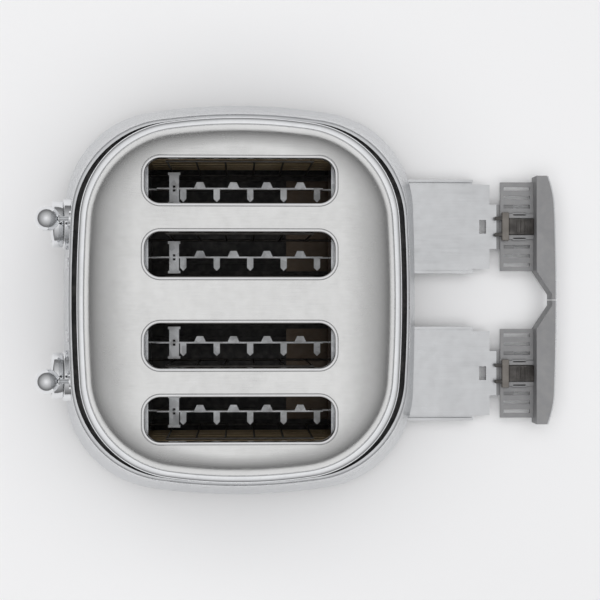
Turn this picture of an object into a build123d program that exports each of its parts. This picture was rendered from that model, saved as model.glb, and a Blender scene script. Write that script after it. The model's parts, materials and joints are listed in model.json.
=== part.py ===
from build123d import *
import math
import os

os.makedirs("parts", exist_ok=True)

# Four-slice toaster, millimetres. +Z is up, -Y is the front with the levers,
# and the origin is on the counter, midway between the four feet.
# The crumb trays are drawn out to the rear, the bread carriers are raised.

# Bread slots
slot_length = 137.5
slot_width = 32.5
slot_corner = 11.5
pair_land = 20.7
centre_land = 33.5
slot_lip = 2.0
slot_flange = 8.0

# Lid, ring and groove
end_land = 45.7
side_land = 26.9
lid_sheet = 1.2
lid_skirt = 12.0
lid_crown = 19.0
lid_end_round = 40.0
lid_side_round = 18.0
ring_width = 5.8
ring_height = 11.0
ring_clearance = 0.15
groove_at_ends = 4.5
groove_at_sides = 0.9
groove_depth = 10.0
ring_sink = 2.0
ring_round = 3.0
rim_plate = 2.0
land_wall = 3.0
lid_corner = 72.0
lid_side_bow = 16.0
ring_corner = 76.0
ring_end_bow = 7.0
ring_side_bow = 18.0
lid_sections = 5
shell_sections = 4
lip_rise = 0.8

# Body shell and base
shell_height = 141.0
shell_wall = 1.2
end_flare = 21.9
side_flare = 26.5
shell_edge_round = 2.5
flare_power = 0.72
pan_height = 24.0
pan_floor = 2.5
pan_wall = 2.5
foot_height = 6.0
foot_radius = 9.0
foot_taper = 1.5
foot_stem = 3.5
foot_recess = 1.5
foot_inset = 32.0
plinth_inset = 0.5
screw_radius = 2.0
screw_head = 3.8
screw_head_height = 2.4
screw_sink = 4.0
post_radius = 6.0
vent_length = 16.0
vent_width = 3.0
vent_pitch = 12.0
vent_count = 9
gland_radius = 7.0
cord_radius = 3.6
gland_back = 14.0

# Chassis
sheet = 1.0
bulkhead_gap = 6.3
deck_drop = 11.0
plate_inset = 2.0
heater_gap = 3.75
mica = 0.8
ribbon = 0.3
ribbon_width = 2.2
ribbon_count = 6
reflector_gap = 4.0
flange = 8.0

# Bread carriers, guides and carriages
carrier_top = 130.0
lever_travel = 45.0
bar_height = 9.0
bar_thickness = 1.2
bar_end_gap = 4.5
tab_start = 20.4
tab_end = 4.5
tab_count = 5
cross_start = 13.4
tab_width = 4.8
long_tab = 10.4
short_tab = 5.0
cross_width = 24.8
cross_length = 7.5
guide_wire = 1.8
guide_pitch = 21.5
guide_count = 6
guide_edge = 0.65
guide_deck_gap = 8.8
hinge_clearance = 0.1
rod_radius = 2.5
rod_offset = 16.0
rod_aside = 14.0
spring_radius = 3.0
slide_clearance = 0.08
bush_wall = 2.5
carriage_side = 5.0
shelf_drop = 19.0
carriage_plate = 1.5
arm_drop = 7.0

# Controls
lever_offset = 2.6
lever_gap = 6.25
stem_radius = 1.75
ball_radius = 9.5
ball_clearance = 0.8
dial_height = 62.0
dial_radius = 19.1
dial_length = 9.0
bezel_radius = 21.0
bezel_depth = 5.0
shaft_radius = 3.0
pot_radius = 8.0
pot_height = 6.0
board_depth = 14.0
board_thickness = 1.6
board_width = 76.0
board_height = 48.0
switch_size = 6.0
switch_height = 1.7
button_radius = 4.5
button_pitch = 14.0
button_x = 30.0
button_stand = 1.2
button_travel = 1.0
button_stem = 1.5
frame_width = 11.5
frame_stand = 1.5
lever_slot_width = 5.5

# Crumb trays
tray_pull = 123.0
tray_width = 77.0
tray_sheet = 0.8
tray_rail = 2.0
tray_rail_height = 4.5
fascia_length = 106.3
fascia_height = 20.0
fascia_depth = 17.8
fascia_gap = 0.6
skin = 1.0
grille_reach = 28.7
runner_height = 3.2
running_gap = 0.35

plinth_draft = 1.5
fascia_wall = 2.2
panel_thickness = 3.0
panel_tongue = 1.8
panel_slot_first = 17.4
panel_slot_pitch = 7.8
panel_slot_count = 3
panel_slot_width = 3.2
panel_slot_length = 23.0
latch_width = 14.0
latch_length = 25.0
latch_height = 5.0
latch_arm = 5.2
latch_arm_height = 2.4
tray_shift = 10.1
tray_step = 3.0
runner_wall = 1.5
runner_overhang = 25.0

fit_gap = 0.3

# Places that follow from the sizes above
inner_slot = (centre_land + slot_width) / 2
outer_slot = inner_slot + slot_width + pair_land
pair_middle = (inner_slot + outer_slot) / 2
slot_middles = {"inner": inner_slot, "outer": outer_slot}
lid_half_depth = slot_length / 2 + end_land
lid_half_width = outer_slot + slot_width / 2 + side_land
ring_half_depth = lid_half_depth + ring_width
ring_half_width = lid_half_width + ring_width
edge_half_depth = ring_half_depth + groove_at_ends
edge_half_width = ring_half_width + groove_at_sides

pan_bottom = foot_height
floor_top = pan_bottom + pan_floor
pan_top = pan_bottom + pan_height
shell_top = pan_top + shell_height
groove_floor = shell_top - groove_depth
rim_bottom = groove_floor - rim_plate
ring_base = shell_top - ring_sink
lid_top = ring_base + lid_skirt + lid_crown
deck_top = lid_top - deck_drop
shelf_height = deck_top - shelf_drop
bulkhead_y = slot_length / 2 + bulkhead_gap
heater_x = {
    "inner": inner_slot - slot_width / 2 - heater_gap,
    "middle": pair_middle,
    "outer": outer_slot + slot_width / 2 + heater_gap,
}
reflector_x = heater_x["outer"] + reflector_gap
chassis_width = 2 * (reflector_x + sheet)
post_x = chassis_width / 2
post_y = bulkhead_y + sheet + flange / 2
lever_x = pair_middle + lever_offset
rod_x = lever_x - rod_aside
spring_x = lever_x + rod_aside
rod_y = bulkhead_y + rod_offset
carriage_y = rod_y - rod_radius - 2 * carriage_plate
guide_x = slot_width / 2 - guide_wire / 2 + guide_edge
guide_bottom = carrier_top - lever_travel - bar_height - arm_drop - guide_wire
guide_height = deck_top - sheet - guide_deck_gap - guide_bottom
bar_half = slot_length / 2 - bar_end_gap
tab_pitch = (2 * bar_half - tab_start - tab_end) / (tab_count - 1)
lever_height = dial_height + bezel_radius + lever_gap + frame_width / 2 + lever_travel
sides = {"left": -1, "right": 1}


def bowed_outline(half_depth, half_width, end_bow, side_bow, corner, inset=0.0):
    """A rectangle whose four sides bow outward, with filleted corners, drawn in by an inset."""
    x = half_width - side_bow
    y = half_depth - end_bow
    end_radius = (x ** 2 + end_bow ** 2) / (2 * end_bow)
    side_radius = (y ** 2 + side_bow ** 2) / (2 * side_bow)
    # The sharp corner is where the drawn-in end and side circles cross
    toward_side = Vector(half_width - side_radius, end_radius - half_depth)
    along = (
        toward_side.length ** 2 + (end_radius - inset) ** 2 - (side_radius - inset) ** 2
    ) / (2 * toward_side.length)
    across = math.sqrt((end_radius - inset) ** 2 - along ** 2)
    direction = toward_side.normalized()
    x = direction.X * along + direction.Y * across
    y = half_depth - end_radius + direction.Y * along - direction.X * across
    depth = half_depth - inset
    width = half_width - inset
    with BuildSketch(mode=Mode.PRIVATE) as outline:
        with BuildLine():
            ThreePointArc((-x, -y), (0, -depth), (x, -y))
            ThreePointArc((x, -y), (width, 0), (x, y))
            ThreePointArc((x, y), (0, depth), (-x, y))
            ThreePointArc((-x, y), (-width, 0), (-x, -y))
        make_face()
        fillet(outline.vertices(), corner - inset)
    return outline.sketch


def lid_outline(inset=0.0, roundness=0.0):
    """The lid's outline, drawn in towards its flat top as roundness goes from 0 to 1."""
    return bowed_outline(
        lid_half_depth - lid_end_round * roundness,
        lid_half_width - lid_side_round * roundness,
        ring_end_bow, lid_side_bow,
        lid_corner - 0.75 * (lid_end_round + lid_side_round) * roundness, inset,
    )


def ring_outline(inset=0.0):
    return bowed_outline(
        ring_half_depth, ring_half_width, ring_end_bow, ring_side_bow, ring_corner, inset
    )


def shell_sizes(rise):
    """The shell's outline at a share of its height, 0 at the pan and 1 at the top edge."""
    flare = 1 - rise ** flare_power
    return (
        edge_half_depth + shell_edge_round + end_flare * flare,
        edge_half_width + shell_edge_round + side_flare * flare,
        ring_end_bow - 2 * flare,
        ring_side_bow + 4 * flare,
        ring_corner + 8 * flare,
    )


def front_wall(x, z):
    """How far forward of the middle the shell's front wall stands."""
    half_depth, half_width, end_bow, side_bow, corner = shell_sizes((z - pan_top) / shell_height)
    reach = half_width - side_bow
    bow_radius = (reach ** 2 + end_bow ** 2) / (2 * end_bow)
    return half_depth - bow_radius + math.sqrt(bow_radius ** 2 - x ** 2)


def shell_block(inset=0.0, top=shell_top):
    """The tapered body as one block, drawn in by an inset."""
    with BuildPart() as block:
        for step in range(shell_sections + 1):
            rise = step / shell_sections * (top - pan_top) / shell_height
            with BuildSketch(Plane.XY.offset(pan_top + rise * shell_height)):
                add(bowed_outline(*shell_sizes(rise), inset))
        loft()
    return block.part


wall_slope = math.degrees(math.atan2(
    front_wall(lever_x, dial_height - dial_radius) - front_wall(lever_x, dial_height + dial_radius),
    2 * dial_radius,
))


def wall_plane(x, z, out=0.0):
    """A plane square to the sloping front wall, facing out of it, with its x towards the right."""
    lean = math.radians(wall_slope)
    facing = Vector(0, -math.cos(lean), math.sin(lean))
    return Plane(Vector(x, -front_wall(x, z), z) + facing * out, x_dir=(1, 0, 0), z_dir=facing)


def save(piece, name):
    piece.label = name
    export_step(piece, f"parts/{name}.step")


outer_block = shell_block()

# Feet: rubber buttons whose stems press up into the pan
foot_x = edge_half_width - foot_inset
foot_y = edge_half_depth - foot_inset
with BuildPart() as feet:
    with GridLocations(2 * foot_x, 2 * foot_y, 2, 2):
        Cone(foot_radius - foot_taper, foot_radius, foot_height,
             align=(Align.CENTER, Align.CENTER, Align.MIN))
        Cylinder(foot_stem - fit_gap, foot_height + foot_recess,
                 align=(Align.CENTER, Align.CENTER, Align.MIN))
save(feet.part, "feet")

# Base pan: moulded tray with the crumb-tray runners, posts for the chassis and an open rear
tray_x = (fascia_gap + fascia_length) / 2 + tray_shift
tray_z = floor_top + runner_height + running_gap
rail_outside = tray_width / 2 + tray_rail
runner_y = bulkhead_y + runner_overhang
rail_top = tray_z + tray_rail_height
base_outline = shell_sizes(0)
fascia_bottom = floor_top + running_gap
fascia_top = fascia_bottom + fascia_height
gland_y = runner_y + gland_back
board_foot = wall_plane(lever_x, dial_height, -board_depth - board_thickness / 2).from_local_coords(
    (0, -board_height / 2, 0)
)


def pan_block(inset=0.0):
    """The plinth as one drafted block, drawn in by an inset."""
    with BuildPart() as block:
        with BuildSketch(Plane.XY.offset(pan_bottom)):
            add(bowed_outline(*base_outline, plinth_inset + plinth_draft + inset))
        with BuildSketch(Plane.XY.offset(pan_top)):
            add(bowed_outline(*base_outline, plinth_inset + inset))
        loft()
    return block.part


with BuildPart() as base_pan:
    add(pan_block())
    with BuildSketch(Plane.XY.offset(floor_top)):
        add(bowed_outline(*base_outline, plinth_inset + plinth_draft + pan_wall))
    extrude(amount=pan_height, mode=Mode.SUBTRACT)
    # Rear wall opened for the two tray fronts
    with BuildSketch(Plane.XY.offset(floor_top)):
        with Locations((0, base_outline[0])):
            Rectangle(2 * (fascia_gap + fascia_length + running_gap), 2 * fascia_depth)
    extrude(amount=pan_height, mode=Mode.SUBTRACT)
    # Posts under the chassis
    with BuildSketch(Plane.XY.offset(floor_top)):
        with GridLocations(post_x, 2 * post_y, 3, 2):
            Circle(post_radius)
    extrude(amount=pan_top - floor_top)
    # Pillars under the control boards
    with BuildSketch(Plane.XY.offset(floor_top)):
        for side in sides.values():
            with Locations((side * lever_x, board_foot.Y)):
                with GridLocations(board_width / 2, 0, 2, 1):
                    Rectangle(2 * pan_wall, 2 * pan_wall)
    extrude(amount=board_foot.Z - board_thickness * math.sin(math.radians(wall_slope)) - floor_top)
    # Runners: a low rib under each tray and a lipped wall at each side of it
    for side in sides.values():
        with BuildSketch(Plane.XY.offset(floor_top)):
            with Locations((side * tray_x, 0)):
                with GridLocations(tray_width * 0.8, 0, 2, 1):
                    Rectangle(tray_rail, 2 * runner_y)
        extrude(amount=runner_height)
        with BuildSketch(Plane.XY.offset(floor_top)):
            with Locations((side * tray_x, 0)):
                with GridLocations(2 * (rail_outside + running_gap) + runner_wall, 0, 2, 1):
                    Rectangle(runner_wall, 2 * runner_y)
        extrude(amount=rail_top + running_gap + runner_wall - floor_top)
        with BuildSketch(Plane.XY.offset(rail_top + running_gap)):
            with Locations((side * tray_x, 0)):
                with GridLocations(2 * (rail_outside + running_gap) - tray_rail, 0, 2, 1):
                    Rectangle(tray_rail, 2 * runner_y)
        extrude(amount=runner_wall)
    # Foot recesses, screw holes, cord entry and vents
    with Locations(Plane.XY.offset(pan_bottom)):
        with GridLocations(2 * foot_x, 2 * foot_y, 2, 2):
            Cylinder(foot_stem, 2 * foot_recess, mode=Mode.SUBTRACT)
        with GridLocations(post_x, 2 * post_y, 3, 2):
            Cylinder(screw_head + fit_gap, 2 * screw_sink, mode=Mode.SUBTRACT)
            Cylinder(screw_radius + fit_gap, 2 * pan_height + 1, mode=Mode.SUBTRACT)
        with Locations((0, gland_y)):
            Cylinder(gland_radius, 2 * pan_height, mode=Mode.SUBTRACT)
    with BuildSketch(Plane.XY.offset(pan_bottom)):
        with Locations((0, -runner_y - vent_length)):
            with GridLocations(vent_pitch, 0, vent_count, 1):
                SlotOverall(vent_length, vent_width, rotation=90)
    extrude(amount=pan_floor, mode=Mode.SUBTRACT)
save(base_pan.part, "base_pan")

# Screws that hold the pan to the chassis
with BuildPart() as base_screws:
    with Locations(Plane.XY.offset(pan_bottom + screw_sink)):
        with GridLocations(post_x, 2 * post_y, 3, 2):
            Cylinder(screw_head, screw_head_height, align=(Align.CENTER, Align.CENTER, Align.MAX))
            Cylinder(screw_radius, pan_top + 3 * sheet - pan_bottom - screw_sink,
                     align=(Align.CENTER, Align.CENTER, Align.MIN))
save(base_screws.part, "base_screws")

# Body shell: tapered steel skirt with a rolled-in top edge
slot_height = lever_height - lever_travel / 2
front = Plane.XZ.offset(post_y)
front_reach = edge_half_depth + end_flare
collar_width = lever_slot_width + 2 * sheet
with BuildPart() as body_shell:
    add(outer_block)
    fillet(body_shell.edges().group_by(Axis.Z)[-1], shell_edge_round * 0.8)
    add(shell_block(shell_wall, shell_top - shell_wall), mode=Mode.SUBTRACT)
    with BuildSketch(Plane.XY.offset(shell_top - 2 * shell_wall)):
        add(bowed_outline(edge_half_depth, edge_half_width, ring_end_bow, ring_side_bow, ring_corner))
    extrude(amount=3 * shell_wall, mode=Mode.SUBTRACT)
    for side in sides.values():
        with BuildSketch(front):
            with Locations((side * lever_x, slot_height)):
                SlotCenterToCenter(lever_travel, collar_width + 2 * fit_gap, rotation=90)
        extrude(amount=front_reach, mode=Mode.SUBTRACT)
        with Locations(wall_plane(side * lever_x, dial_height)):
            Cylinder(1.5 * shaft_radius, 6 * shell_wall, mode=Mode.SUBTRACT)
        for step in (-1, 0, 1):
            with Locations(wall_plane(side * button_x, dial_height + step * button_pitch)):
                Cylinder(button_radius + fit_gap, 6 * shell_wall, mode=Mode.SUBTRACT)
save(body_shell.part, "body_shell")

# Chrome frames round the lever slots, following the sloping wall
skin_inner = shell_block(-slide_clearance)
with BuildPart() as lever_slot_frames:
    add(shell_block(-frame_stand))
    add(skin_inner, mode=Mode.SUBTRACT)
    with BuildSketch(front):
        for side in sides.values():
            with Locations((side * lever_x, slot_height)):
                SlotCenterToCenter(lever_travel, frame_width, rotation=90)
    extrude(amount=front_reach, mode=Mode.INTERSECT)
with BuildPart() as slot_collars:
    add(skin_inner)
    add(shell_block(2 * shell_wall, shell_top - shell_wall), mode=Mode.SUBTRACT)
    with BuildSketch(front):
        for side in sides.values():
            with Locations((side * lever_x, slot_height)):
                SlotCenterToCenter(lever_travel, collar_width, rotation=90)
    extrude(amount=front_reach, mode=Mode.INTERSECT)
with BuildPart() as lever_openings:
    with BuildSketch(front):
        for side in sides.values():
            with Locations((side * lever_x, slot_height)):
                SlotCenterToCenter(lever_travel, lever_slot_width, rotation=90)
    extrude(amount=front_reach)
frames = lever_slot_frames.part + slot_collars.part - lever_openings.part
save(frames, "lever_slot_frames")

# Rim carrier: dark moulded floor of the groove, with the land under the trim ring
with BuildPart() as rim_carrier:
    with BuildSketch(Plane.XY.offset(rim_bottom)):
        add(bowed_outline(*shell_sizes((groove_floor - pan_top) / shell_height), shell_wall + fit_gap))
    extrude(amount=rim_plate)
    with BuildSketch(Plane.XY.offset(groove_floor)):
        add(ring_outline(sheet))
    extrude(amount=ring_base - groove_floor)
    with BuildSketch(Plane.XY.offset(groove_floor)):
        add(lid_outline(land_wall))
    extrude(amount=ring_base - groove_floor, mode=Mode.SUBTRACT)
    # Opened for the chassis, and in front and behind for the carriages
    with BuildSketch(Plane.XY.offset(rim_bottom)):
        Rectangle(chassis_width + 2 * sheet, 2 * (bulkhead_y + 2 * sheet))
        Rectangle(2 * (outer_slot + carriage_side + sheet), 2 * (rod_y + rod_radius + 2 * bush_wall))
    extrude(amount=rim_plate, mode=Mode.SUBTRACT)
save(rim_carrier.part, "rim_carrier")

# Trim ring
with BuildPart() as trim_ring:
    with BuildSketch(Plane.XY.offset(ring_base)):
        add(ring_outline())
    extrude(amount=ring_height)
    with BuildSketch(Plane.XY.offset(ring_base)):
        add(lid_outline(-ring_clearance))
    extrude(amount=ring_height, mode=Mode.SUBTRACT)
    fillet(trim_ring.faces().sort_by(Axis.Z)[-1].outer_wire().edges(), ring_round)
    fillet(trim_ring.faces().sort_by(Axis.Z)[-1].inner_wires()[0].edges(), ring_round / 4)
save(trim_ring.part, "trim_ring")


def slot_profile(grow=0.0):
    """The four bread-slot outlines."""
    with BuildSketch(mode=Mode.PRIVATE) as slots:
        for side in sides.values():
            for middle in slot_middles.values():
                with Locations((side * middle, 0)):
                    RectangleRounded(slot_width + 2 * grow, slot_length + 2 * grow, slot_corner + grow)
    return slots.sketch


def crown(inset=0.0):
    """The domed lid as one block over its straight skirt."""
    with BuildPart() as block:
        for step in range(lid_sections + 1):
            turn = math.pi / 2 * step / lid_sections
            height = ring_base + lid_skirt + (lid_crown - inset) * math.sin(turn)
            with BuildSketch(Plane.XY.offset(height)):
                add(lid_outline(inset, 1 - math.cos(turn)))
        loft()
        with BuildSketch(Plane.XY.offset(ring_base)):
            add(lid_outline(inset))
        extrude(amount=lid_skirt)
    return block.part


# Lid: domed sheet with a rolled lip and a turned-down flange round each bread slot
with BuildPart() as lid:
    add(crown())
    add(crown(lid_sheet), mode=Mode.SUBTRACT)
    with BuildSketch(Plane.XY.offset(lid_top - lid_sheet / 2)):
        add(slot_profile(slot_lip))
    extrude(amount=lid_sheet / 2 + lip_rise)
    chamfer(lid.faces().filter_by(Plane.XY).group_by(Axis.Z)[-1].edges(), lip_rise * 0.6)
    with BuildSketch(Plane.XY.offset(lid_top - slot_flange)):
        add(slot_profile(lid_sheet))
    extrude(amount=slot_flange)
    with BuildSketch(Plane.XY.offset(lid_top - slot_flange)):
        add(slot_profile())
    extrude(amount=slot_flange + 2 * lip_rise, mode=Mode.SUBTRACT)
save(lid.part, "lid")

# Guide plate: deck of the chassis, just under the lid's flanges
with BuildPart() as guide_plate:
    with BuildSketch(Plane.XY.offset(deck_top - sheet)):
        RectangleRounded(chassis_width, 2 * (bulkhead_y + sheet), plate_inset)
        for side in sides.values():
            for middle in slot_middles.values():
                with Locations((side * middle, 0)):
                    RectangleRounded(slot_width + plate_inset, slot_length - 2 * plate_inset,
                                     plate_inset, mode=Mode.SUBTRACT)
    extrude(amount=sheet)
save(guide_plate.part, "guide_plate")

# Bulkheads: pressed plates with slits for the carriers, holes for the guides and tabs for the cards
arm_top = carrier_top - bar_height
arm_bottom = arm_top - arm_drop
slit_bottom = arm_bottom - lever_travel - sheet
card_bottom = slit_bottom + flange
card_top = deck_top - flange
card_tabs = (card_bottom + 2 * flange, card_top - 2 * flange)
deck_bottom = deck_top - sheet


def bulkhead(facing):
    """The front bulkhead for a facing of 1, the rear one for -1."""
    outward = Plane.XZ.offset(facing * bulkhead_y)
    with BuildPart() as plate:
        with BuildSketch(outward):
            with Locations((0, pan_top)):
                Rectangle(chassis_width, deck_bottom - pan_top, align=(Align.CENTER, Align.MIN))
            for side in sides.values():
                for middle in slot_middles.values():
                    with Locations((side * middle, slit_bottom)):
                        Rectangle(bar_thickness + 4 * fit_gap, arm_top + sheet - slit_bottom,
                                  align=(Align.CENTER, Align.MIN), mode=Mode.SUBTRACT)
                    with Locations((side * middle, guide_bottom)):
                        with GridLocations(2 * guide_x, 0, 2, 1):
                            Circle(guide_wire / 2 + hinge_clearance, mode=Mode.SUBTRACT)
                for x in heater_x.values():
                    for z in card_tabs:
                        with Locations((side * x, z)):
                            Rectangle(mica + fit_gap, flange + fit_gap, mode=Mode.SUBTRACT)
        extrude(amount=facing * sheet)
        # Feet on the pan's posts and tongues under the rim carrier
        with BuildSketch(Plane.XY.offset(pan_top)):
            with Locations((0, -facing * post_y)):
                with GridLocations(post_x, 0, 3, 1):
                    Rectangle(flange, flange)
                    Circle(screw_radius, mode=Mode.SUBTRACT)
        extrude(amount=sheet)
        with BuildSketch(Plane.XY.offset(rim_bottom - sheet)):
            with Locations((0, -facing * (bulkhead_y + flange / 2))):
                with GridLocations(chassis_width - 2 * flange, 0, 2, 1):
                    Rectangle(flange, flange)
        extrude(amount=sheet)
        if facing > 0:
            # Shelves that hold the guide rods, the upper one also the springs
            shelf_reach = rod_offset + 2 * rod_radius
            for side in sides.values():
                with BuildSketch(Plane.XY.offset(shelf_height)):
                    with Locations((side * lever_x, -bulkhead_y - shelf_reach / 2)):
                        Rectangle(2 * rod_aside + flange + 2 * rod_radius, shelf_reach)
                    with Locations((side * rod_x, -rod_y)):
                        Circle(rod_radius + slide_clearance, mode=Mode.SUBTRACT)
                extrude(amount=sheet)
                with BuildSketch(Plane.XY.offset(pan_top + flange)):
                    with Locations((side * rod_x, -bulkhead_y - shelf_reach / 2)):
                        Rectangle(4 * rod_radius, shelf_reach)
                    with Locations((side * rod_x, -rod_y)):
                        Circle(rod_radius + slide_clearance, mode=Mode.SUBTRACT)
                extrude(amount=sheet)
    return plate.part


save(bulkhead(1), "front_bulkhead")
save(bulkhead(-1), "rear_bulkhead")

# Reflectors: outer side walls of the chamber, flanged out under the rim carrier
with BuildPart() as reflectors:
    for side in sides.values():
        with BuildSketch(Plane.XZ):
            with Locations((side * (reflector_x + sheet / 2), slit_bottom)):
                Rectangle(sheet, deck_bottom - slit_bottom, align=(Align.CENTER, Align.MIN))
            with Locations((side * (reflector_x + flange / 2), rim_bottom - sheet / 2)):
                Rectangle(flange, sheet)
        extrude(amount=bulkhead_y, both=True)
save(reflectors.part, "reflectors")

# Heater cards: mica with ribbon wound across both faces and a tab at each end
for side_name, side in sides.items():
    for place, x in heater_x.items():
        with BuildPart() as card:
            with BuildSketch(Plane.YZ.offset(side * x)):
                with Locations((0, (card_bottom + card_top) / 2)):
                    Rectangle(2 * (bulkhead_y - fit_gap), card_top - card_bottom)
                for z in card_tabs:
                    with Locations((0, z)):
                        Rectangle(2 * (bulkhead_y + 2 * sheet), flange)
            extrude(amount=mica / 2, both=True)
        with BuildPart() as windings:
            with BuildSketch(Plane.YZ.offset(side * x)):
                with Locations((0, (card_bottom + card_top) / 2)):
                    with GridLocations(0, (card_top - card_bottom) / ribbon_count, 1, ribbon_count):
                        Rectangle(slot_length, ribbon_width)
            extrude(amount=mica / 2 + ribbon, both=True)
        save(card.part + windings.part, f"heater_{side_name}_{place}")

# Bread carriers: a bar on edge with pressed tabs, a cross plate and an arm at each end
for side_name, side in sides.items():
    for place, middle in slot_middles.items():
        x = side * middle
        with BuildPart() as carrier:
            with BuildSketch(Plane.XY.offset(carrier_top - sheet)):
                with Locations((x, cross_start - bar_half)):
                    Rectangle(cross_width, cross_length)
                    with GridLocations(cross_width - 2 * sheet, 0, 2, 1):
                        Rectangle(2 * sheet, cross_length + 2 * sheet)
                    Rectangle(4 * bar_thickness, 2 * sheet, mode=Mode.SUBTRACT)
                for step in range(tab_count):
                    y = tab_start - bar_half + step * tab_pitch
                    with BuildLine():
                        Polyline(
                            (x, y - tab_width / 2), (x + long_tab - tab_width / 2, y - tab_width / 2),
                            (x + long_tab, y), (x + long_tab - tab_width / 2, y + tab_width / 2),
                            (x, y + tab_width / 2), close=True,
                        )
                    make_face()
                for step in range(tab_count - 1):
                    y = tab_start - bar_half + (step + 0.5) * tab_pitch
                    with BuildLine():
                        Polyline(
                            (x, y - tab_width), (x - short_tab, y - tab_width / 2),
                            (x - short_tab, y + tab_width / 2), (x, y + tab_width), close=True,
                        )
                    make_face()
            extrude(amount=sheet)
            with BuildSketch(Plane.YZ.offset(x)):
                with Locations((0, arm_top + bar_height / 2)):
                    Rectangle(2 * bar_half, bar_height)
                with Locations((0, arm_bottom + arm_drop / 2)):
                    with GridLocations(2 * bar_half - flange, 0, 2, 1):
                        Rectangle(flange, arm_drop)
                with Locations((-carriage_y, arm_bottom)):
                    Rectangle(carriage_y - bar_half, arm_drop, align=(Align.MIN, Align.MIN))
                with Locations((bar_half, arm_bottom)):
                    Rectangle(bulkhead_y + flange - bar_half, arm_drop, align=(Align.MIN, Align.MIN))
            extrude(amount=bar_thickness / 2, both=True)
        save(carrier.part, f"bread_carrier_{side_name}_{place}")

# Bread guides: wire frames that pivot on their lowest wire and close in on the slice
for side_name, side in sides.items():
    for place, middle in slot_middles.items():
        for wall, lean in {"in": -1, "out": 1}.items():
            x = side * (middle + lean * guide_x)
            with BuildPart() as guide:
                with Locations(Plane.XZ):
                    with Locations((x, guide_bottom)):
                        Cylinder(guide_wire / 2, 2 * bulkhead_y + 3 * sheet)
                    with Locations((x, guide_bottom + guide_height)):
                        Cylinder(guide_wire / 2, guide_pitch * (guide_count - 1) + guide_wire)
                with Locations(Plane.XY.offset(guide_bottom)):
                    with Locations((x, 0)):
                        with GridLocations(0, guide_pitch, 1, guide_count):
                            Cylinder(guide_wire * 0.4, guide_height,
                                     align=(Align.CENTER, Align.CENTER, Align.MIN))
            save(guide.part, f"bread_guide_{side_name}_{place}_{wall}")

# Carriages: a plate joined to two carrier arms, a bush on the guide rod and the lever's stem
ball_y = front_wall(lever_x, lever_height - lever_travel) + frame_stand + ball_clearance + ball_radius
lug_height = arm_bottom + 3 * flange
for side_name, side in sides.items():
    with BuildPart() as carriage:
        with BuildSketch(Plane.XZ.offset(carriage_y)):
            with Locations((side * pair_middle, arm_bottom)):
                Rectangle(outer_slot - inner_slot + 2 * carriage_side, arm_drop + sheet,
                          align=(Align.CENTER, Align.MIN))
            with Locations((side * lever_x, arm_bottom)):
                Rectangle(2 * rod_aside + 2 * spring_radius, lug_height - arm_bottom,
                          align=(Align.CENTER, Align.MIN))
                Rectangle(4 * stem_radius, lever_height + 2 * stem_radius - arm_bottom,
                          align=(Align.CENTER, Align.MIN))
        extrude(amount=carriage_plate)
        with BuildSketch(Plane.XY.offset(lug_height - sheet)):
            with Locations((side * spring_x, -carriage_y)):
                Rectangle(2 * spring_radius, rod_y + spring_radius - carriage_y,
                          align=(Align.CENTER, Align.MAX))
        extrude(amount=sheet)
        with BuildSketch(Plane.XY.offset(arm_bottom)):
            with Locations((side * rod_x, -rod_y)):
                Circle(rod_radius + slide_clearance + bush_wall)
        extrude(amount=lug_height - arm_bottom)
        with Locations((side * rod_x, -rod_y, arm_bottom)):
            Cylinder(rod_radius + slide_clearance, 4 * lug_height, mode=Mode.SUBTRACT)
        with Locations(Plane.XZ.offset(carriage_y)):
            with Locations((side * lever_x, lever_height)):
                Cylinder(stem_radius, ball_y - carriage_y, align=(Align.CENTER, Align.CENTER, Align.MIN))
    save(carriage.part, f"carriage_{side_name}")
    with BuildPart() as knob:
        with Locations(Plane.XZ.offset(ball_y)):
            with Locations((side * lever_x, lever_height)):
                Sphere(ball_radius)
                Cylinder(stem_radius, 2 * ball_radius, mode=Mode.SUBTRACT,
                         align=(Align.CENTER, Align.CENTER, Align.MAX))
    save(knob.part, f"lever_knob_{side_name}")
    with BuildPart() as spring:
        with BuildSketch(Plane.XY.offset(lug_height)):
            with Locations((side * spring_x, -rod_y)):
                Circle(spring_radius)
                Circle(spring_radius - sheet, mode=Mode.SUBTRACT)
        extrude(amount=shelf_height - lug_height)
    save(spring.part, f"return_spring_{side_name}")

# Guide rods: held by the shelves, clear of the pan
rod_bottom = pan_top + flange - 2 * sheet
with BuildPart() as guide_rods:
    with Locations((-rod_x, -rod_y, rod_bottom), (rod_x, -rod_y, rod_bottom)):
        Cylinder(rod_radius, shelf_height + 3 * sheet - rod_bottom,
                 align=(Align.CENTER, Align.CENTER, Align.MIN))
save(guide_rods.part, "guide_rods")

# Latch magnets: coil and yoke on the front bulkhead, just below the lowered carriages
magnet_top = arm_bottom - lever_travel - sheet
with BuildPart() as latch_magnets:
    with Locations((-lever_x, -bulkhead_y - sheet, magnet_top), (lever_x, -bulkhead_y - sheet, magnet_top)):
        Box(1.5 * flange, 1.5 * flange, 2 * sheet, align=(Align.CENTER, Align.MAX, Align.MAX))
        Box(1.5 * flange, 2 * sheet, 3 * flange, align=(Align.CENTER, Align.MAX, Align.MAX))
    with Locations(
        (-lever_x, -bulkhead_y - flange, magnet_top), (lever_x, -bulkhead_y - flange, magnet_top)
    ):
        Cylinder(flange * 0.6, 2.5 * flange, align=(Align.CENTER, Align.CENTER, Align.MAX))
save(latch_magnets.part, "latch_magnets")

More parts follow.
